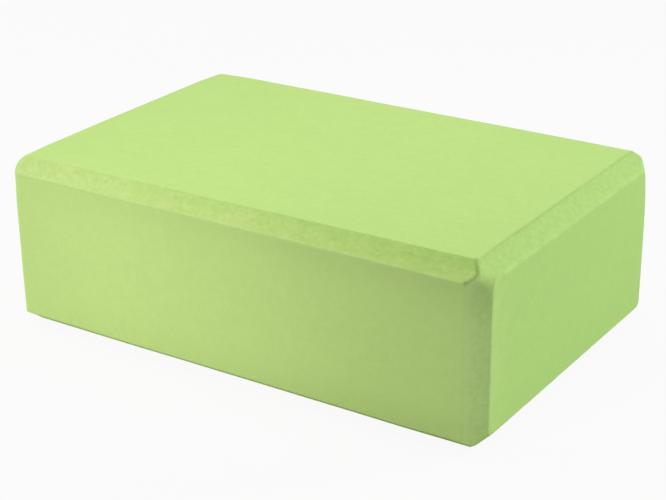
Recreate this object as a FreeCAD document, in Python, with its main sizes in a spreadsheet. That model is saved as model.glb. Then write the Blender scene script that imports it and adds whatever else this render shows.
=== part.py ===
import FreeCAD, Part
import os

import Sketcher

# Foam yoga block: two equal sheets of closed-cell foam, bonded back to back and then trimmed.
# X runs along the block, Y across it and Z up from the face that it stands on.

# Driving sizes in millimetres: alias, value, what it measures.
DRIVING_SIZES = [
    ("block_length", 228.6, "over the two end faces"),
    ("block_width", 152.4, "over the two long faces"),
    ("sheet_thickness", 38.0, "each foam sheet, two to a block"),
    ("bond_thickness", 0.2, "cured adhesive between the sheets"),
    ("side_bevel_run", 8.2, "bevel of a long edge, across the flat face"),
    ("side_bevel_drop", 6.0, "bevel of a long edge, down the long face"),
    ("side_bevel_hollow", 0.4, "depth of that bevel's hollow grind"),
    ("end_bevel_run", 7.4, "bevel of an end edge, across the flat face"),
    ("end_bevel_drop", 6.5, "bevel of an end edge, down the end face"),
    ("end_bevel_hollow", 0.15, "depth of that bevel's hollow grind"),
    ("corner_side_leg", 6.2, "facet of an upright corner, along the long face"),
    ("corner_end_leg", 8.1, "facet of an upright corner, along the end face"),
    ("corner_round", 4.5, "radius between that facet and the long face"),
    ("cut_overrun", 5.0, "reach of each cutting profile past the foam"),
]
SHEET_NAME = "Sizes"
EDGE_TOLERANCE = 0.001  # for finding an edge by its place
ARC_START_SHARE = 0.5  # a sketched arc is deepest half way along its chord
TURNED_OVER = 180  # degrees about X, for the sheet that lies face down
MM3_PER_CM3 = 1000


class Dim:
    # A length together with the sheet formula that it comes from.
    def __init__(self, value, formula):
        self.value = value
        self.formula = formula

    def __add__(self, other):
        return Dim(self.value + other.value, f"({self.formula} + {other.formula})")

    def __sub__(self, other):
        return Dim(self.value - other.value, f"({self.formula} - {other.formula})")

    def half(self):
        return Dim(self.value / 2, f"({self.formula} / 2)")


def fill_sheet(doc):
    sheet = doc.addObject("Spreadsheet::Sheet", SHEET_NAME)
    for row, (alias, value, meaning) in enumerate(DRIVING_SIZES, start=1):
        sheet.set(f"A{row}", alias.replace("_", " "))
        sheet.set(f"B{row}", str(value))
        sheet.setAlias(f"B{row}", alias)
        sheet.set(f"C{row}", meaning)
    doc.recompute()
    return {alias: Dim(sheet.get(alias), f"{SHEET_NAME}.{alias}") for alias, _, _ in DRIVING_SIZES}


def add_sketch(body, name, role):
    sketch = body.newObject("Sketcher::SketchObject", name)
    plane = next(item for item in body.Origin.OriginFeatures if item.Role == role)
    sketch.AttachmentSupport = [(plane, "")]
    sketch.MapMode = "FlatFace"
    return sketch


def bind(sketch, constraint, formula):
    index = sketch.addConstraint(constraint)
    sketch.setExpression(f"Constraints[{index}]", formula)


def pin(sketch, edge, end, kind, side, dim):
    # Sets how far an edge's end lies from the sketch's origin, on one side of it.
    origin, point = (-1, 1), (edge, end)
    first, second = (origin, point) if side > 0 else (point, origin)
    bind(sketch, Sketcher.Constraint(kind, *first, *second, dim.value), dim.formula)


def draw_loop(sketch, corners, hollow=None):
    # Draws a closed loop through corners, each (side in x, x, side in y, y) with x and y as distances.
    # Corners run anticlockwise. A hollow gives the first edge that rise as an arc into the foam.
    places = [FreeCAD.Vector(sx * x.value, sy * y.value, 0) for sx, x, sy, y in corners]
    edges = []
    for number, start in enumerate(places):
        end = places[(number + 1) % len(places)]
        if hollow and number == 0:
            chord = end - start
            across = FreeCAD.Vector(chord.y, -chord.x, 0).normalize()
            deepest = start + chord * ARC_START_SHARE + across * hollow.value
            edges.append(sketch.addGeometry(Part.Arc(start, deepest, end)))
        else:
            edges.append(sketch.addGeometry(Part.LineSegment(start, end)))
    for number, edge in enumerate(edges):
        following = edges[(number + 1) % len(edges)]
        sketch.addConstraint(Sketcher.Constraint("Coincident", edge, 2, following, 1))
    for edge, (side_x, x, side_y, y) in zip(edges, corners):
        pin(sketch, edge, 1, "DistanceX", side_x, x)
        pin(sketch, edge, 1, "DistanceY", side_y, y)
    return edges


def corner_outline(size):
    # The block's plan: a rectangle with a flat facet across each upright corner.
    end_x = size["block_length"].half()
    side_y = size["block_width"].half()
    facet_x = end_x - size["corner_side_leg"]
    facet_y = side_y - size["corner_end_leg"]
    return [
        (-1, facet_x, -1, side_y),
        (1, facet_x, -1, side_y),
        (1, end_x, -1, facet_y),
        (1, end_x, 1, facet_y),
        (1, facet_x, 1, side_y),
        (-1, facet_x, 1, side_y),
        (-1, end_x, 1, facet_y),
        (-1, end_x, -1, facet_y),
    ]


def pad_outline(body, size, thickness):
    # A slab of the block's plan, with each corner facet rounded into the long face.
    outline = add_sketch(body, f"{body.Name}_outline", "XY_Plane")
    draw_loop(outline, corner_outline(size))
    slab = body.newObject("PartDesign::Pad", f"{body.Name}_slab")
    slab.Profile = outline
    slab.setExpression("Length", thickness.formula)
    body.Document.recompute()
    side_y = size["block_width"].half().value
    uprights = []
    for number, edge in enumerate(slab.Shape.Edges, start=1):
        middle = edge.CenterOfMass
        upright = edge.BoundBox.ZLength > thickness.value - EDGE_TOLERANCE
        if upright and abs(abs(middle.y) - side_y) < EDGE_TOLERANCE:
            uprights.append(f"Edge{number}")
    rounds = body.newObject("PartDesign::Fillet", f"{body.Name}_corner_rounds")
    rounds.Base = (slab, uprights)
    rounds.setExpression("Radius", size["corner_round"].formula)
    body.Document.recompute()
    return rounds


def bevel_radius(run, drop, hollow):
    # The radius of an arc with this chord and rise.
    return f"({run}^2 + {drop}^2) / (8 * {hollow}) + {hollow} / 2"


def cut_bevels(body, size, edge_name, role, half_span, cut_length):
    # Grinds the pair of face edges that lie half_span each side of the middle, right through the corners.
    run, drop, hollow = (size[f"{edge_name}_bevel_{part}"] for part in ("run", "drop", "hollow"))
    face = size["sheet_thickness"]
    beyond = half_span + size["cut_overrun"]
    above = face + size["cut_overrun"]
    flat_end = half_span - run
    low = face - drop
    before = body.Tip.Shape.Volume
    profile = add_sketch(body, f"{body.Name}_{edge_name}_bevel_profile", role)
    right = [(flat_end, face), (half_span, low), (beyond, low), (beyond, above), (flat_end, above)]
    left = [right[1], right[0], *reversed(right[2:])]
    for side, points in ((1, right), (-1, left)):
        edges = draw_loop(profile, [(side, x, 1, z) for x, z in points], hollow)
        arc = profile.Geometry[edges[0]]
        radius = Sketcher.Constraint("Radius", edges[0], arc.Radius)
        bind(profile, radius, bevel_radius(run.formula, drop.formula, hollow.formula))
    grind = body.newObject("PartDesign::Pocket", f"{body.Name}_{edge_name}_bevels")
    grind.Profile = profile
    grind.SideType = "Symmetric"
    grind.setExpression("Length", (cut_length + size["cut_overrun"]).formula)
    body.Document.recompute()
    if grind.Shape.Volume >= before:
        raise RuntimeError(f"{grind.Label} removed no foam")


def make_ply(doc, size, label):
    # One foam sheet with its bonded face at z = 0 and its worn face up.
    ply = doc.addObject("PartDesign::Body", label)
    pad_outline(ply, size, size["sheet_thickness"])
    length, width = size["block_length"], size["block_width"]
    cut_bevels(ply, size, "side", "YZ_Plane", width.half(), length)
    cut_bevels(ply, size, "end", "XZ_Plane", length.half(), width)
    return ply


def make_lower_ply(doc, size):
    ply = make_ply(doc, size, "lower_foam_ply")
    face_down = FreeCAD.Rotation(FreeCAD.Vector(1, 0, 0), TURNED_OVER)
    ply.Placement = FreeCAD.Placement(FreeCAD.Vector(), face_down)
    ply.setExpression("Placement.Base.z", size["sheet_thickness"].formula)
    return ply


def make_bond_film(doc, size):
    film = doc.addObject("PartDesign::Body", "bond_film")
    pad_outline(film, size, size["bond_thickness"])
    film.setExpression("Placement.Base.z", size["sheet_thickness"].formula)
    return film


def make_upper_ply(doc, size):
    ply = make_ply(doc, size, "upper_foam_ply")
    ply.setExpression("Placement.Base.z", (size["sheet_thickness"] + size["bond_thickness"]).formula)
    return ply


def check(doc, pieces):
    for item in doc.Objects:
        if "Invalid" in item.State or "Error" in item.State:
            raise RuntimeError(f"{item.Label} failed: {item.State}")
    for piece in pieces:
        if piece.Shape.isNull() or not piece.Shape.isValid() or len(piece.Shape.Solids) != 1:
            raise RuntimeError(f"{piece.Label} is not one sound solid")


def main():
    doc = FreeCAD.newDocument("yoga_block")
    size = fill_sheet(doc)
    pieces = [make_lower_ply(doc, size), make_bond_film(doc, size), make_upper_ply(doc, size)]
    doc.recompute()
    check(doc, pieces)
    os.makedirs("parts", exist_ok=True)
    for piece in pieces:
        piece.Shape.exportStep(f"parts/{piece.Label}.step")
        box = piece.Shape.BoundBox
        print(
            f"{piece.Label}: {piece.Shape.Volume / MM3_PER_CM3:.1f} cm3, "
            f"{box.XLength:.2f} x {box.YLength:.2f} x {box.ZLength:.2f} mm, from z {box.ZMin:.2f}"
        )


main()
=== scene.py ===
import math

import bmesh
import bpy
import numpy as np
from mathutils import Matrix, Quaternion, Vector, noise


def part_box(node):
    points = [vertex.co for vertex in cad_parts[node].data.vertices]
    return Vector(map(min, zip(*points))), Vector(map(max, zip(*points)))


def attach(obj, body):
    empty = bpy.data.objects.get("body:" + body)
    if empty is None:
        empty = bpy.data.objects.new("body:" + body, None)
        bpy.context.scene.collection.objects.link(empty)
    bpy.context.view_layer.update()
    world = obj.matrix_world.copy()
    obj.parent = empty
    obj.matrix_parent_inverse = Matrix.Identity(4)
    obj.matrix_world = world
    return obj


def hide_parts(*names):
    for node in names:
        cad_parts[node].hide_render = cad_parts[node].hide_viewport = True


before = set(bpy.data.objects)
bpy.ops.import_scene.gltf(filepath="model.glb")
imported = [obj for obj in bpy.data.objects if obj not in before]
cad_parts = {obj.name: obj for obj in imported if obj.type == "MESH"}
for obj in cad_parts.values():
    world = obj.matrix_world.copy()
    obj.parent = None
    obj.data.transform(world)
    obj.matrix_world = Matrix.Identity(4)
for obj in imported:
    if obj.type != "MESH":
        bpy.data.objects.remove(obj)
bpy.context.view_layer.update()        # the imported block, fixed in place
print("frame loaded:", sorted(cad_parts))

# Foam yoga block, all in metres: X along it, Y across it, Z up from the floor.


# Camera, at the photograph's viewing angle

cameraSetup = {
    "aim": (0.009361, -0.012088, 0.0381),   # a point in the middle of the block
    "azimuth": 33.443,                      # degrees, from the long front face towards the right end
    "elevation": 23.076,
    "roll": 0.650,
    "distance": 0.69787,
    "lens": 89.88,                          # mm on the sensor below
    "sensor": 36.0,
}


def placeCamera(setup):
    azimuth = math.radians(setup["azimuth"])
    elevation = math.radians(setup["elevation"])
    outward = Vector((
        math.sin(azimuth) * math.cos(elevation),
        -math.cos(azimuth) * math.cos(elevation),
        math.sin(elevation),
    ))
    bpy.ops.object.camera_add(location=Vector(setup["aim"]) + outward * setup["distance"])
    camera = bpy.context.active_object
    camera.name = "photoCamera"
    level = (-outward).to_track_quat("-Z", "Y")
    camera.rotation_euler = (level @ Quaternion((0, 0, 1), -math.radians(setup["roll"]))).to_euler()
    camera.data.sensor_fit = "HORIZONTAL"
    camera.data.sensor_width = setup["sensor"]
    camera.data.lens = setup["lens"]
    bpy.context.scene.camera = camera


placeCamera(cameraSetup)
print("camera placed")


# Finishes

class Value:             # a socket's value, so that shader maths reads as plain sums
    def __init__(self, finish, socket):
        self.finish = finish
        self.socket = socket

    def maths(self, operation, first, second):
        sockets = {"Value": first, "Value_001": second}
        return self.finish.node("ShaderNodeMath", {"operation": operation}, sockets)

    def __add__(self, other):
        return self.maths("ADD", self, other)

    def __sub__(self, other):
        return self.maths("SUBTRACT", self, other)

    def __rsub__(self, other):
        return self.maths("SUBTRACT", other, self)

    def __mul__(self, other):
        return self.maths("MULTIPLY", self, other)

    __radd__ = __add__
    __rmul__ = __mul__


class Finish:            # one material or world and the nodes in it
    def __init__(self, owner):
        owner.use_nodes = True
        self.owner = owner
        self.tree = owner.node_tree
        self.tree.nodes.clear()

    def node(self, kind, settings={}, sockets={}, output=None):
        made = self.tree.nodes.new(kind)
        for key, value in settings.items():
            setattr(made, key, value)
        for key, value in sockets.items():
            socket = next(s for s in made.inputs if s.enabled and key in (s.identifier, s.name))
            if isinstance(value, Value):
                self.tree.links.new(value.socket, socket)
            else:
                socket.default_value = value
        outputs = [s for s in made.outputs if s.enabled and output in (None, s.identifier, s.name)]
        return Value(self, outputs[0]) if outputs else made


def grey(level):
    return (level, level, level, 1)


def tinted(colour, by):
    return tuple(base * factor for base, factor in zip(colour, by)) + (1,)


noiseMiddle = 0.5        # a noise runs evenly to both sides of this
foamLook = {
    "green": (0.546, 0.776, 0.232),
    "cloud": (24, 3.0),                # 1/m and detail: drifts of shade about 40 mm across
    "mottle": (190, 4.0),              # patches about 5 mm across
    "fleck": (470, 3.0),               # torn flecks about 2 mm across, clearest where the foam is ground
    "streak": (1.0, 3.0),              # strokes of the tool, on top of each face's own grain
    "cellScale": 3200,                 # closed cells about 0.3 mm across
    "driftShares": (0.5, 0.5, 0.35),   # of the cloud, the mottle and the streaks
    "driftSpan": (0.38, 0.62),
    "driftLight": (1.020, 1.014, 1.022),
    "driftDark": (0.980, 0.986, 0.973),
    "longTopShade": (                      # tint of ground foam on each long grind by the flat face, darker there as painted shade, at the left and right ends
        (0.995, 0.965, 1.025, 1),
        (0.845, 0.950, 0.730, 1),
    ),
    "longFootLight": (                      # the same by the side, lighter there as painted light
        (1.040, 0.980, 1.170, 1),
        (1.020, 1.005, 0.920, 1),
    ),
    "raggedShares": (1.8, 1.2),        # how far streaks and mottle break up the change between the two
    "raggedSpan": (0.0, 1.1),
    "endDeep": (0.960, 0.970, 0.970, 1),       # ground foam of an end edge
    "cornerDeep": (1.000, 1.000, 1.040, 1),    # tint of ground foam on an upright corner's facet, by the end
    "cornerPaintedLight": (1.120, 1.080, 1.190, 1),    # the same by the long face, lighter there as painted light
    "wearHighlightTint": (1.130, 1.100, 1.180, 1),      # pale lines and patches along the edges: partly wear, partly painted highlight
    "wornSpan": (0.30, 0.55),                  # mottle at which they start and are full
    "paintedShadeTint": (0.780, 0.780, 0.740, 1),    # painted shade: dark lines at the top of each end's grind and under the foot of each long grind, and soft shade below that
    "paintedShadeShares": (0.4, 0.4),                # everywhere, and more in patches
    "slitShadeTint": (0.510, 0.545, 0.430, 1),      # painted shade in the crease and on the facet beside it
    "fleckLight": (1.050, 1.038, 1.070, 1),
    "fleckDark": (0.950, 0.962, 0.930, 1),
    "fleckSpan": (0.34, 0.66),
    "fleckPlain": 0.25,                        # share of the flecks on faces that aren't ground
    "pitShadeTint": (0.930, 0.930, 0.900, 1),       # painted shade in each cell's hollow
    "pitSpan": (0.0, 0.45),
    "roughness": 0.78,
    "roughDrift": 0.06,
    "roughGround": 0.08,
    "specular": 0.5,
    "cellBump": (0.5, 0.00010),                # strength, and depth in metres
    "streakBump": (0.6, 0.00016),
}
adhesiveLook = {
    "colour": (0.520, 0.745, 0.225),
    "light": (1.03, 1.03, 1.05),
    "dark": (0.97, 0.97, 0.95),
    "bead": (420, 2.0),                # 1/m and detail
    "beadSpan": (0.35, 0.65),
    "beadBump": (0.5, 0.00005),
    "roughness": 0.5,
    "roughBead": 0.1,
}


def mixColours(finish, share, first, second, blend="MIX"):
    return finish.node(
        "ShaderNodeMix",
        {"data_type": "RGBA", "blend_type": blend},
        {"Factor": share, "A": first, "B": second},
    )


def noiseOf(finish, place, pattern):
    scale, detail = pattern
    return finish.node("ShaderNodeTexNoise", {}, {"Vector": place, "Scale": scale, "Detail": detail})


def spreadOut(finish, value, span):      # the span's low to high becomes 0 to 1
    low, high = span
    return finish.node("ShaderNodeMapRange", {}, {"Value": value, "From Min": low, "From Max": high})


def maskOf(finish, name):
    return finish.node("ShaderNodeAttribute", {"attribute_name": name}, output="Fac")


def bumpOf(finish, height, bump, under={}):      # under is a bump that this one lies on
    strength, depth = bump
    sockets = {"Height": height, "Strength": strength, "Distance": depth}
    return finish.node("ShaderNodeBump", {}, {**sockets, **under})


def makeFoam(look):
    finish = Finish(bpy.data.materials.new("greenFoam"))
    place = finish.node("ShaderNodeTexCoord", output="Object")
    grain = finish.node("ShaderNodeAttribute", {"attribute_name": "grain"}, output="Vector")
    drawn = finish.node(
        "ShaderNodeVectorMath",
        {"operation": "MULTIPLY"},
        {"Vector": place, "Vector_001": grain},
    )
    cloud = noiseOf(finish, place, look["cloud"])
    mottle = noiseOf(finish, place, look["mottle"])
    fleck = noiseOf(finish, place, look["fleck"])
    streak = noiseOf(finish, drawn, look["streak"])
    cellAt = {"Vector": place, "Scale": look["cellScale"]}
    cell = finish.node("ShaderNodeTexVoronoi", {}, cellAt, "Distance")
    ground = maskOf(finish, "ground")

    cloudShare, mottleShare, streakShare = look["driftShares"]     # the shade all over
    drift = cloud * cloudShare + mottle * mottleShare + (streak - noiseMiddle) * streakShare
    drift = spreadOut(finish, drift, look["driftSpan"])
    dark, light = tinted(look["green"], look["driftDark"]), tinted(look["green"], look["driftLight"])
    colour = mixColours(finish, drift, dark, light)

    along = maskOf(finish, "along")                                # the tints of each grind and mark, with their painted light and shade
    shadedTop = mixColours(finish, along, *look["longTopShade"])
    litFoot = mixColours(finish, along, *look["longFootLight"])
    streakBreak, mottleBreak = look["raggedShares"]
    broken = (streak - noiseMiddle) * streakBreak + (mottle - noiseMiddle) * mottleBreak
    ragged = spreadOut(finish, maskOf(finish, "across") + broken, look["raggedSpan"])
    longTint = mixColours(finish, ragged, shadedTop, litFoot)
    cornerTint = mixColours(finish, maskOf(finish, "facetLightShare"), look["cornerDeep"], look["cornerPaintedLight"])
    patchy = spreadOut(finish, mottle, look["wornSpan"])
    paintedShadeLeast, paintedShadeMore = look["paintedShadeShares"]
    torn = spreadOut(finish, fleck, look["fleckSpan"])
    fleckTint = mixColours(finish, torn, look["fleckDark"], look["fleckLight"])
    layers = [
        # ground foam of the long grinds, with painted shade by the flat face and painted light at the
        # foot
        (maskOf(finish, "longGrind"), longTint),
        (maskOf(finish, "endGrind"), look["endDeep"]),
        # upright facets, with painted light by the long face
        (maskOf(finish, "cornerGrind"), cornerTint),
        # pale edge lines and patches: wear and painted highlight
        (maskOf(finish, "wearAndHighlight") * patchy, look["wearHighlightTint"]),
        # painted shade along the tops of the end grinds and under the long grinds
        (maskOf(finish, "paintedShade") * (patchy * paintedShadeMore + paintedShadeLeast), look["paintedShadeTint"]),
        # painted shade in the crease at the near corner and on the facet beside it
        (maskOf(finish, "slit"), look["slitShadeTint"]),
        (ground * (1 - look["fleckPlain"]) + look["fleckPlain"], fleckTint),
        # painted shade in each cell's hollow
        (1 - spreadOut(finish, cell, look["pitSpan"]), look["pitShadeTint"]),
    ]
    for share, tint in layers:
        colour = mixColours(finish, share, colour, tint, "MULTIPLY")

    cells = bumpOf(finish, cell, look["cellBump"])
    shader = finish.node(
        "ShaderNodeBsdfPrincipled",
        {},
        {
            "Base Color": colour,
            "Roughness": look["roughness"] + drift * look["roughDrift"] + ground * look["roughGround"],
            "Specular IOR Level": look["specular"],
            "Normal": bumpOf(finish, streak * ground, look["streakBump"], {"Normal": cells}),
        },
    )
    finish.node("ShaderNodeOutputMaterial", {}, {"Surface": shader})
    return finish.owner


def makeAdhesive(look):
    finish = Finish(bpy.data.materials.new("bondAdhesive"))
    place = finish.node("ShaderNodeTexCoord", output="Object")
    bead = noiseOf(finish, place, look["bead"])
    shade = spreadOut(finish, bead, look["beadSpan"])
    dark, light = tinted(look["colour"], look["dark"]), tinted(look["colour"], look["light"])
    shader = finish.node(
        "ShaderNodeBsdfPrincipled",
        {},
        {
            "Base Color": mixColours(finish, shade, dark, light),
            "Roughness": look["roughness"] + shade * look["roughBead"],
            "Normal": bumpOf(finish, bead, look["beadBump"]),
        },
    )
    finish.node("ShaderNodeOutputMaterial", {}, {"Surface": shader})
    return finish.owner


greenFoam = makeFoam(foamLook)
bondAdhesive = makeAdhesive(adhesiveLook)
print("finishes made")


# Foam plies, trimmed as the block was: upright corners first, then the edges of the face that is used

samePlace = 1e-6                 # points this near are one place
mergeGap = 1e-5                  # points this near are merged
rowGap = 2e-5                    # a cut takes in points this near to it
cornerShape = {
    "sideLeg": 0.0062,           # facet of an upright corner, along the long face
    "endLeg": 0.0081,            # the same, along the end face
    "round": 0.0045,             # from the facet into the long face
    "roundSteps": 10,
    "sweep": 0.0050,             # radius at which an end's grind turns down into the facet
    "sweepAt": {                 # the same, at corners that were ground differently: by end, side and ply
        (1, -1, 1): 0.0062,
        (1, 1, 1): 0.0040,
        (-1, -1, 1): 0.0062,
        (-1, 1, 1): 0.0090,
        (1, -1, -1): 0.0030,
        (1, 1, -1): 0.0030,
    },
    "sweepSteps": 9,
    "taper": 0.0062,             # at the near corner the sweep narrows to nothing this far in
}
bevels = {                       # run across the flat face, drop down the side, hollow of the grind
    "front": {"axis": 1, "side": -1, "run": 0.0082, "drop": 0.0060, "hollow": 0.00040, "shoulder": 2},
    "back": {"axis": 1, "side": 1, "run": 0.0082, "drop": 0.0060, "hollow": 0.00040, "shoulder": 2},
    "right": {"axis": 0, "side": 1, "run": 0.0074, "drop": 0.0065, "hollow": 0.00018, "shoulder": 6},
    "left": {"axis": 0, "side": -1, "run": 0.0066, "drop": 0.0065, "hollow": 0.00018, "shoulder": 6},
}
nearCorner = (1, -1, 1)          # the one corner with a crease: right, front, top
foamShape = {
    "edgeSoft": 0.00035,         # foam edges are never quite sharp
    "edgeSteps": 2,
    "edgeAngle": 14,             # degrees: flatter edges are left alone
    "edgeZone": 0.0104,          # the rows are close together this far in from each edge
    "closeStep": 0.0008,
    "wideStep": 0.0045,
    "wander": 0.00012,           # how far hand trimming strays
    "wanderScale": 32,
    "wanderSeed": 11,            # which stray line it takes, the same in every run
    "hollowFade": 0.0010,        # how far under a bevel its hollow still shows
    "facetFade": 0.0006,         # how softly the upright facet's finish ends
    "alongPower": 0.7,           # the long grind's change of tint comes early along it
    "smoothAngle": 35,
}
edgeMarks = {                    # lines and patches along the edges, as wear, painted highlight and painted shade, with the shares at which they show
    "lineWidth": 0.00045,
    "rimWidth": 0.00090,         # pale line round each end face, partly wear and partly painted highlight
    "lipShare": 0.35,            # pale line along the foot of each long grind, partly wear and partly painted highlight
    "endSkin": 0.0001,           # how deep an end face reaches
    "endCornerLightReach": 0.0090,       # painted highlight on each end face beside the front corner
    "endCornerLightShare": 0.45,
    "endTopShadeFrom": 0.0080,         # the painted shade line at the top of an end's grind starts this far from the front
    "endTopShadeFade": 0.0150,
    "shadeDrop": 0.0004,         # a painted shadow line this far below the foot of each long grind
    "shadeShare": 0.45,
    "gloomReach": 0.0090,        # soft shade below that
    "gloomShare": 0.55,
    "gloomSkin": 0.0020,         # how deep a long face reaches
    "gloomLeast": 0.4,           # share of the shade off that face
}
frontTaper = {"left": -0.0021, "right": 0.0014, "fade": 0.025}     # the front grind widens to the right
cornerSlit = {                   # the grind overran at the near corner and left a crease
    "side": 1,
    "inset": 0.00050,            # it stops this far short of the long face
    "depth": 0.00050,
    "width": 0.00090,
    "shift": (-0.0005, 0, 0),
    "nearBevel": 0.01,           # how near to the grind's plane its edges lie, as a share of its width
    "topShare": 0.35,            # how dark the crease's painted shade is at the flat face, against 1 at the long face
    "facetShade": (0.1130, -0.0698, 0.0650),     # painted shade on the facet round here
    "facetShadeReach": 0.0090,
    "facetShadeShare": 0.25,
    "inward": (-0.45, 0.60, -0.66),
    "reach": 0.0022,             # the mesh is finer this near to it
    "finest": 0.00020,           # but not where it is this fine already
    "cuts": 2,
}
cornerMelt = {                   # the other corners are handled smooth
    "inset": 0.0030,
    "core": 0.0080,
    "reach": 0.0200,
    "factor": 0.5,
    "passes": {1: 60, -1: 20},   # by ply: the used face is rubbed more
    "shareAt": {(1, 1, 1): 0.40},            # and one corner less, by end, side and ply
}
cornerWear = [                   # places rubbed away a little, or fuller where the depth is negative
    {"place": (-0.1100, 0.0720, 0.0762), "depth": 0.00050, "reach": 0.0120},
    {"place": (-0.1094, -0.0741, 0.0670), "depth": 0.00030, "reach": 0.0060},
    {"place": (0.1143, 0.0700, 0.0660), "depth": 0.00040, "reach": 0.0100},
    {"place": (0.1137, 0.0681, 0.0680), "depth": 0.00030, "reach": 0.0040},
    {"place": (0.1084, 0.0702, 0.0740), "depth": -0.00060, "reach": 0.0045},
    {"place": (0.1104, 0.0722, 0.0720), "depth": 0.00040, "reach": 0.0030},
]
grainScale = {                   # 1/m along X, Y and Z: small along the strokes of each tool
    "flat": (330, 330, 330),
    "longGrind": (110, 520, 520),
    "endGrind": (620, 55, 620),
    "cornerGrind": (620, 620, 55),
}
grainLimits = {                  # parts of a face's normal that tell the tools apart
    "flat": 0.985,               # most along one axis: not ground at all
    "longGrind": 0.1,            # less than this along X
    "cornerGrind": 0.25,         # less than this along Z
}


def addPrism(name, low, high):
    bpy.ops.object.select_all(action="DESELECT")
    bpy.ops.mesh.primitive_cube_add(size=1, location=(low + high) / 2)
    piece = bpy.context.active_object
    piece.name = name
    piece.data.name = name
    piece.scale = high - low
    bpy.ops.object.transform_apply(location=True, rotation=True, scale=True)
    bpy.ops.object.mode_set(mode="EDIT")
    bpy.ops.mesh.select_mode(type="EDGE")
    return piece


def trim(point, normal):         # cuts off what lies on the normal's side and closes the cut
    normal = Vector(normal).normalized()
    bpy.ops.mesh.select_all(action="SELECT")
    bpy.ops.mesh.bisect(
        plane_co=point, plane_no=normal, threshold=samePlace, use_fill=True, clear_outer=True
    )
    return np.array(point), np.array(normal)


def selectEdges(piece, wanted):
    bpy.ops.mesh.select_all(action="DESELECT")
    mesh = bmesh.from_edit_mesh(piece.data)
    for edge in mesh.edges:
        edge.select_set(wanted(edge))
    bmesh.update_edit_mesh(piece.data)


def mergeDoubles():
    bpy.ops.mesh.select_all(action="SELECT")
    bpy.ops.mesh.remove_doubles(threshold=mergeGap)


def trimCorners(piece, high, shape):
    sideLeg, endLeg = shape["sideLeg"], shape["endLeg"]
    cuts = []
    for sideX in (-1, 1):
        for sideY in (-1, 1):
            point = (sideX * (high.x - sideLeg), sideY * high.y, 0)
            cuts.append(trim(point, (sideX * endLeg, sideY * sideLeg, 0)))

    def meetsLongFace(edge):
        start, end = (vertex.co for vertex in edge.verts)
        upright = (start.xy - end.xy).length < samePlace
        return upright and abs(abs(start.y) - high.y) < samePlace

    selectEdges(piece, meetsLongFace)
    turn = math.atan2(endLeg, sideLeg)
    setback = shape["round"] * math.tan(turn / 2)
    bpy.ops.mesh.bevel(offset=setback, segments=shape["roundSteps"], affect="EDGES")
    return cuts


def trimBevels(names, high, face, up):
    cuts = []
    for name in names:
        bevel = bevels[name]
        axis, side = bevel["axis"], bevel["side"]
        point = Vector((0, 0, face - up * bevel["drop"]))
        normal = Vector((0, 0, up * bevel["run"]))
        point[axis] = side * high[axis]
        normal[axis] = side * bevel["drop"]
        cuts.append(trim(point, normal))
    return cuts


def sweepCorners(high, face, up, shape):     # carries each end's grind down into the upright facet
    steps = shape["sweepSteps"]
    facetSlope = shape["endLeg"] / shape["sideLeg"]
    cuts = []
    for bevel in (bevels["left"], bevels["right"]):
        side = bevel["side"]
        for sideY in (-1, 1):
            radius = shape["sweepAt"].get((side, sideY, up), shape["sweep"])
            inY = high.y - shape["endLeg"]
            corner = Vector((side * high.x, sideY * inY, face - up * bevel["drop"]))
            mitre = Vector((-side, sideY * facetSlope, up * bevel["drop"] / bevel["run"]))
            for step in range(1, steps):
                turn = math.pi / 2 * step / steps
                down, out = math.sin(turn), math.cos(turn)
                point = corner - Vector((0, sideY * radius * (1 - down), up * radius * (1 - out)))
                ruling = mitre
                if (side, sideY, up) == nearCorner:
                    ruling = corner + mitre * shape["taper"] - point
                tangent = Vector((0, sideY * out, -up * down))
                cuts.append(trim(point, tangent.cross(ruling) * side * sideY * up))
    mergeDoubles()
    return cuts


def softenEdges(piece, bond, shape):     # every sharp edge but the two sheets' shared line
    def isCrisp(edge):
        atBond = all(abs(vertex.co.z - bond) < samePlace for vertex in edge.verts)
        return not atBond and edge.calc_face_angle(0) > math.radians(shape["edgeAngle"])

    selectEdges(piece, isCrisp)
    mesh = bmesh.from_edit_mesh(piece.data)
    crisp = [[tuple(vertex.co) for vertex in edge.verts] for edge in mesh.edges if edge.select]
    bpy.ops.mesh.bevel(offset=shape["edgeSoft"], segments=shape["edgeSteps"], affect="EDGES")
    mergeDoubles()
    return np.array(crisp)


def rowPlaces(low, high, shape, closeLow=True, closeHigh=True):
    zone = shape["edgeZone"]
    start = low + zone if closeLow else low
    end = high - zone if closeHigh else high
    places = list(np.linspace(start, end, round((end - start) / shape["wideStep"]) + 1))
    close = np.arange(shape["closeStep"], zone, shape["closeStep"])
    if closeLow:
        places += list(low + close)
    if closeHigh:
        places += list(high - close)
    return sorted(places)


def cutRows(axis, places):
    for place in places:
        point, normal = Vector(), Vector()
        point[axis], normal[axis] = place, 1
        bpy.ops.mesh.select_all(action="SELECT")
        bpy.ops.mesh.bisect(plane_co=point, plane_no=normal, threshold=rowGap)


def gapsTo(points, edges):               # each point's distance to the nearest of these edges
    nearest = np.full(len(points), np.inf)
    for start, end in edges:
        along = end - start
        share = np.clip((points - start) @ along / (along @ along), 0, 1)
        gap = np.linalg.norm(points - start - share[:, None] * along, axis=1)
        nearest = np.minimum(nearest, gap)
    return nearest


def refineNear(piece, edges, slit):
    bpy.ops.mesh.select_mode(type="FACE")
    bpy.ops.mesh.select_all(action="DESELECT")
    mesh = bmesh.from_edit_mesh(piece.data)
    gaps = gapsTo(np.array([face.calc_center_median() for face in mesh.faces]), edges)
    for face, gap in zip(mesh.faces, gaps):
        shortest = min(edge.calc_length() for edge in face.edges)
        face.select_set(bool(gap < slit["reach"] and shortest > slit["finest"]))
    bmesh.update_edit_mesh(piece.data)
    bpy.ops.mesh.subdivide(number_cuts=slit["cuts"])


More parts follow.
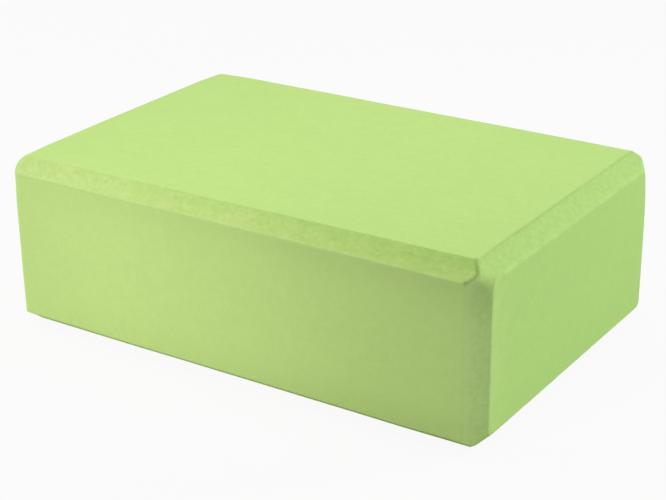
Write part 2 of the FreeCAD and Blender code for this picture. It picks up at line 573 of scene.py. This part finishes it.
def readPoints(piece):
    points = np.empty(len(piece.data.vertices) * 3)
    piece.data.vertices.foreach_get("co", points)
    return points.reshape(-1, 3)


def writePoints(piece, points):
    piece.data.vertices.foreach_set("co", points.ravel())
    piece.data.update()


def storeMasks(piece, masks):
    for name, values in masks.items():
        mask = piece.data.attributes.new(name, "FLOAT", "POINT")
        mask.data.foreach_set("value", values)


def storeGrain(piece):                   # which way the tool went over each face
    normals = np.empty(len(piece.data.polygons) * 3)
    piece.data.polygons.foreach_get("normal", normals)
    x, y, z = np.abs(normals.reshape(-1, 3).T)
    kind = np.where(z < grainLimits["cornerGrind"], "cornerGrind", "endGrind")
    kind = np.where(x < grainLimits["longGrind"], "longGrind", kind)
    kind = np.where(np.maximum(np.maximum(x, y), z) > grainLimits["flat"], "flat", kind)
    grain = piece.data.attributes.new("grain", "FLOAT_VECTOR", "FACE")
    grain.data.foreach_set("vector", np.array([grainScale[name] for name in kind]).ravel())


def lineFrom(gaps, width):               # 1 on a line, falling to 0 about two widths away
    return np.exp(-((gaps / width) ** 2))


def sortEdges(edges, high, face):        # which crisp edges are which, by where their two ends lie
    size = np.abs(edges)
    atEnd = (size[:, :, 0] > high.x - mergeGap).all(axis=1)
    atSide = (size[:, :, 1] > high.y - mergeGap).all(axis=1)
    atFace = (np.abs(edges[:, :, 2] - face) < mergeGap).all(axis=1)
    alongY = np.abs(edges[:, 0, 0] - edges[:, 1, 0]) < mergeGap
    return {"endOutline": edges[atEnd], "lip": edges[atSide], "endTop": edges[atFace & alongY]}


def slitEdges(edges, high, slit):        # the end of the front grind, at one corner
    bevel = bevels["front"]
    middle = edges.mean(axis=1)
    inset = high.y + middle[:, 1]
    depth = high.z - middle[:, 2]
    onBevel = np.abs(inset / bevel["run"] + depth / bevel["drop"] - 1) < slit["nearBevel"]
    inside = (inset > slit["inset"]) & (depth > mergeGap)
    return edges[onBevel & inside & (slit["side"] * middle[:, 0] > 0)]


def hollowBevels(points, high, face, up, shape):
    for bevel in bevels.values():
        axis, side, run, drop = bevel["axis"], bevel["side"], bevel["run"], bevel["drop"]
        width = math.hypot(run, drop)
        inset = high[axis] - side * points[:, axis]
        share = np.clip(up * (face - points[:, 2]) / drop, 0, 1)
        under = (inset / run + share - 1) * run * drop / width
        bow = 1 - np.abs(2 * share - 1) ** bevel["shoulder"]
        dip = bevel["hollow"] * bow * np.clip(1 - under / shape["hollowFade"], 0, 1)
        points[:, axis] -= side * dip * drop / width
        points[:, 2] -= up * dip * run / width


def taperFront(points, low, high, taper):
    share = (points[:, 0] - low.x) / (high.x - low.x)
    run, drop = bevels["front"]["run"], bevels["front"]["drop"]
    lift = 1 - np.clip((high.z - points[:, 2]) / drop, 0, 1)
    fade = 1 - np.clip((points[:, 1] - low.y - run * lift) / taper["fade"], 0, 1)
    points[:, 1] += (taper["left"] + (taper["right"] - taper["left"]) * share) * lift * fade


def meltedShare(points, high, face, up, melt):    # 1 in the corners that are melted, 0 away from them
    inset = melt["inset"]
    weights = np.zeros(len(points))
    for sideX in (-1, 1):
        for sideY in (-1, 1):
            if (sideX, sideY, up) != nearCorner:
                corner = np.array((sideX * (high.x - inset), sideY * (high.y - inset), face - up * inset))
                gaps = np.linalg.norm(points - corner, axis=1)
                share = np.clip((melt["reach"] - gaps) / (melt["reach"] - melt["core"]), 0, 1)
                weights = np.maximum(weights, share * melt["shareAt"].get((sideX, sideY, up), 1))
    return weights


def meltCorners(piece, weights, factor, passes):
    group = piece.vertex_groups.new(name="corners")
    for index in np.flatnonzero(weights):
        group.add([int(index)], float(weights[index]), "REPLACE")
    smooth = piece.modifiers.new("melt", "SMOOTH")
    smooth.factor = factor
    smooth.iterations = passes
    smooth.vertex_group = group.name
    bpy.ops.object.modifier_apply(modifier=smooth.name)
    piece.vertex_groups.clear()


def wearCorners(points, middle):
    for wear in cornerWear:
        gaps = np.linalg.norm(points - np.array(wear["place"]), axis=1)
        inward = (Vector(middle) - Vector(wear["place"])).normalized()
        points += np.outer(wear["depth"] * lineFrom(gaps, wear["reach"]), inward)


def strayFrom(points, low, high, bond, shape):
    noise.seed_set(shape["wanderSeed"])
    for point in points:
        stray = np.array(noise.noise_vector(Vector(point) * shape["wanderScale"])) * shape["wander"]
        stray[2] *= abs(point[2] - bond) > samePlace
        point += stray
    np.clip(points, low, high, out=points)


def onCuts(points, cuts):                # points that a grinding cut left bare
    outermost = np.max([(points - point) @ normal for point, normal in cuts], axis=0)
    return (outermost > -rowGap).astype(float)


def grindMasks(points, low, high, face, up, cuts, shape):      # where each tool went
    inFacet = np.min([(point - points) @ normal for point, normal in cuts["corner"]], axis=0)
    along = np.clip((points[:, 0] - low.x) / (high.x - low.x), 0, 1)
    return {
        "ground": onCuts(points, sum(cuts.values(), [])),
        "longGrind": onCuts(points, cuts["long"]),
        "endGrind": onCuts(points, cuts["end"]),
        "cornerGrind": lineFrom(inFacet, shape["facetFade"]),
        # share of the painted light on an upright facet: 0 by the end face, 1 by the long face
        "facetLightShare": np.clip((high.x - np.abs(points[:, 0])) / cornerShape["sideLeg"], 0, 1),
        "across": np.clip(up * (face - points[:, 2]) / bevels["front"]["drop"], 0, 1),
        "along": along ** shape["alongPower"],
    }


def markMasks(points, low, high, face, up, edges, grinds, melted, marks):      # pale for wear and painted highlight, dark for painted shade
    lines = sortEdges(edges, high, face)
    width = marks["lineWidth"]
    onEnd = np.abs(points[:, 0]) > high.x - marks["endSkin"]
    onSide = np.clip(1 - (high.y - np.abs(points[:, 1])) / marks["gloomSkin"], 0, 1)
    fromFront = points[:, 1] - low.y
    below = up * (face - points[:, 2]) - bevels["front"]["drop"]
    underLip = lines["lip"] - np.array((0, 0, up * marks["shadeDrop"]))

    # pale lines round each end face and along the foot of each long grind: wear and painted highlight
    rim = lineFrom(gapsTo(points, lines["endOutline"]), marks["rimWidth"])
    rim *= (1 - grinds["cornerGrind"]) * (1 - melted)
    lip = lineFrom(gapsTo(points, lines["lip"]), width)
    # painted highlight on each end face beside the front corner
    endCornerLight = lineFrom(fromFront - cornerShape["endLeg"], marks["endCornerLightReach"]) * onEnd
    # painted shade along the top edge of each end's grind
    endTopShade = lineFrom(gapsTo(points, lines["endTop"]), width)
    endTopShade *= np.clip((fromFront - marks["endTopShadeFrom"]) / marks["endTopShadeFade"], 0, 1)
    shade = lineFrom(gapsTo(points, underLip), width)
    gloom = lineFrom(below, marks["gloomReach"]) * (below > 0) * grinds["along"] * (1 - onEnd)
    gloom *= marks["gloomLeast"] + (1 - marks["gloomLeast"]) * onSide
    return {
        "wearAndHighlight": np.max([rim, lip * marks["lipShare"], endCornerLight * marks["endCornerLightShare"]], axis=0),
        "paintedShade": np.max([endTopShade, shade * marks["shadeShare"], gloom * marks["gloomShare"]], axis=0),
    }


# painted shade in the crease, darker towards the long face, and on the facet beside it
def slitMask(points, creased, grinds, up, slit):
    gaps = np.linalg.norm(points - np.array(slit["facetShade"]), axis=1)
    facetShade = lineFrom(gaps, slit["facetShadeReach"]) * grinds["cornerGrind"] * (up > 0)
    darkness = slit["topShare"] + (1 - slit["topShare"]) * grinds["across"]
    return {"slit": np.maximum(creased * darkness, facetShade * slit["facetShadeShare"])}


def makePly(name, node, up, shape):      # up is 1 for the upper ply, -1 for the lower
    low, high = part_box(node)
    face, bond = (high.z, low.z) if up > 0 else (low.z, high.z)
    piece = addPrism(name, low, high)
    cuts = {
        "corner": trimCorners(piece, high, cornerShape),
        "long": trimBevels(("front", "back"), high, face, up),
        "end": trimBevels(("right", "left"), high, face, up),
        "sweep": sweepCorners(high, face, up, cornerShape),
    }
    edges = softenEdges(piece, bond, shape)
    cutRows(0, rowPlaces(low.x, high.x, shape))
    cutRows(1, rowPlaces(low.y, high.y, shape))
    cutRows(2, rowPlaces(low.z, high.z, shape, up < 0, up > 0))
    slit = slitEdges(edges, high, cornerSlit)
    if up > 0:
        refineNear(piece, slit, cornerSlit)
    bpy.ops.object.mode_set(mode="OBJECT")

    points = readPoints(piece)           # marks and finishes follow the cuts while these are still true
    melted = meltedShare(points, high, face, up, cornerMelt)
    creaseGaps = gapsTo(points, slit + np.array(cornerSlit["shift"]))
    creased = lineFrom(creaseGaps, cornerSlit["width"]) * (up > 0)
    grinds = grindMasks(points, low, high, face, up, cuts, shape)
    storeMasks(piece, grinds)
    storeMasks(piece, markMasks(points, low, high, face, up, edges, grinds, melted, edgeMarks))
    storeMasks(piece, slitMask(points, creased, grinds, up, cornerSlit))
    storeGrain(piece)

    hollowBevels(points, high, face, up, shape)
    if up > 0:
        taperFront(points, low, high, frontTaper)
    writePoints(piece, points)
    meltCorners(piece, melted, cornerMelt["factor"], cornerMelt["passes"][up])
    points = readPoints(piece)
    if up > 0:
        wearCorners(points, (low + high) / 2)
    points += creased[:, None] * cornerSlit["depth"] * np.array(cornerSlit["inward"])
    strayFrom(points, low, high, bond, shape)
    writePoints(piece, points)
    bpy.ops.object.shade_smooth_by_angle(angle=math.radians(shape["smoothAngle"]))
    piece.data.materials.append(greenFoam)
    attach(piece, "root")
    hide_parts(node)
    print(name, "made:", len(piece.data.polygons), "faces")


makePly("upperFoam", "upper_foam_ply", 1, foamShape)
makePly("lowerFoam", "lower_foam_ply", -1, foamShape)


# Bond film, trimmed flush with the two sheets

def makeFilm(name, node, shape):
    low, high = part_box(node)
    piece = addPrism(name, low, high)
    trimCorners(piece, high, cornerShape)
    cutRows(0, rowPlaces(low.x, high.x, shape))
    cutRows(1, rowPlaces(low.y, high.y, shape))
    bpy.ops.object.mode_set(mode="OBJECT")
    points = readPoints(piece)
    heights = points[:, 2].copy()
    strayFrom(points, low, high, low.z, shape)
    points[:, 2] = heights
    writePoints(piece, points)
    bpy.ops.object.shade_smooth_by_angle(angle=math.radians(shape["smoothAngle"]))
    piece.data.materials.append(bondAdhesive)
    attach(piece, "root")
    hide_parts(node)
    print(name, "made:", len(piece.data.polygons), "faces")


makeFilm("bondLine", "bond_film", foamShape)


# Floor and light

floorLook = {
    "size": 8.0,
    "colour": 0.65,
    "glow": 0.92,            # share of plain white that the camera sees; the rest keeps the shadow
}


def seenByCamera(finish):      # straight, mirrored or through something clear
    path = "ShaderNodeLightPath"
    seen = finish.node(path, output="Is Camera Ray")
    mirrored = finish.node(path, output="Is Glossy Ray")
    return seen + mirrored + finish.node(path, output="Is Transmission Ray")


def layFloor(look):
    bpy.ops.object.select_all(action="DESELECT")
    bpy.ops.mesh.primitive_plane_add(size=look["size"])
    floor = bpy.context.active_object
    floor.name = "floor"
    finish = Finish(bpy.data.materials.new("paleFloor"))
    paper = finish.node("ShaderNodeBsdfDiffuse", {}, {"Color": grey(look["colour"])})
    white = finish.node("ShaderNodeEmission", {}, {"Color": grey(1.0), "Strength": 1.0})
    glow = seenByCamera(finish) * look["glow"]
    shader = finish.node("ShaderNodeMixShader", {}, {"Fac": glow, "Shader": paper, "Shader_001": white})
    finish.node("ShaderNodeOutputMaterial", {}, {"Surface": shader})
    floor.data.materials.append(finish.owner)


def setWorld(colour):
    world = bpy.data.worlds.new("studio")
    bpy.context.scene.world = world
    finish = Finish(world)
    around = finish.node("ShaderNodeBackground", {}, {"Color": colour + (1,), "Strength": 1.0})
    white = finish.node("ShaderNodeBackground", {}, {"Color": grey(1.0), "Strength": 1.0})
    shader = finish.node(
        "ShaderNodeMixShader", {}, {"Fac": seenByCamera(finish), "Shader": around, "Shader_001": white}
    )
    finish.node("ShaderNodeOutputWorld", {}, {"Surface": shader})


worldColour = (0.507, 0.4975, 0.545)     # even light from all round, a little cool
lamps = {
    "frontBeam": {               # a narrow beam, so that the long face darkens towards the near corner
        "place": (-0.241, -0.752, 0.300), "aim": (-0.060, -0.076, 0.036), "size": 0.2, "spread": 28,
        "watts": 0.0871, "tint": (1.00, 0.935, 0.985),
    },
    "backRight": {
        "place": (0.771, 0.919, 0.600), "aim": (0.114, -0.200, 0.060), "size": 0.4, "spread": 70,
        "watts": 1.400, "tint": (0.79, 1.00, 0.78),
    },
    "overLeft": {
        "place": (-0.600, 0.000, 1.000), "aim": (0.0, 0.0, 0.04), "size": 0.6, "spread": 180,
        "watts": 3.230, "tint": (1.00, 0.971, 0.760),
    },
}


def addLamp(name, setup):
    place, aim = Vector(setup["place"]), Vector(setup["aim"])
    bpy.ops.object.light_add(type="AREA", location=place)
    lamp = bpy.context.active_object
    lamp.name = name
    lamp.rotation_euler = (aim - place).to_track_quat("-Z", "Y").to_euler()
    lamp.data.shape = "SQUARE"
    lamp.data.size = setup["size"]
    lamp.data.spread = math.radians(setup["spread"])
    lamp.data.energy = setup["watts"]
    lamp.data.color = setup["tint"]


layFloor(floorLook)
setWorld(worldColour)
for lampName, lampSetup in lamps.items():
    addLamp(lampName, lampSetup)
bpy.context.scene.view_settings.view_transform = "Standard"
print("floor and lights set")
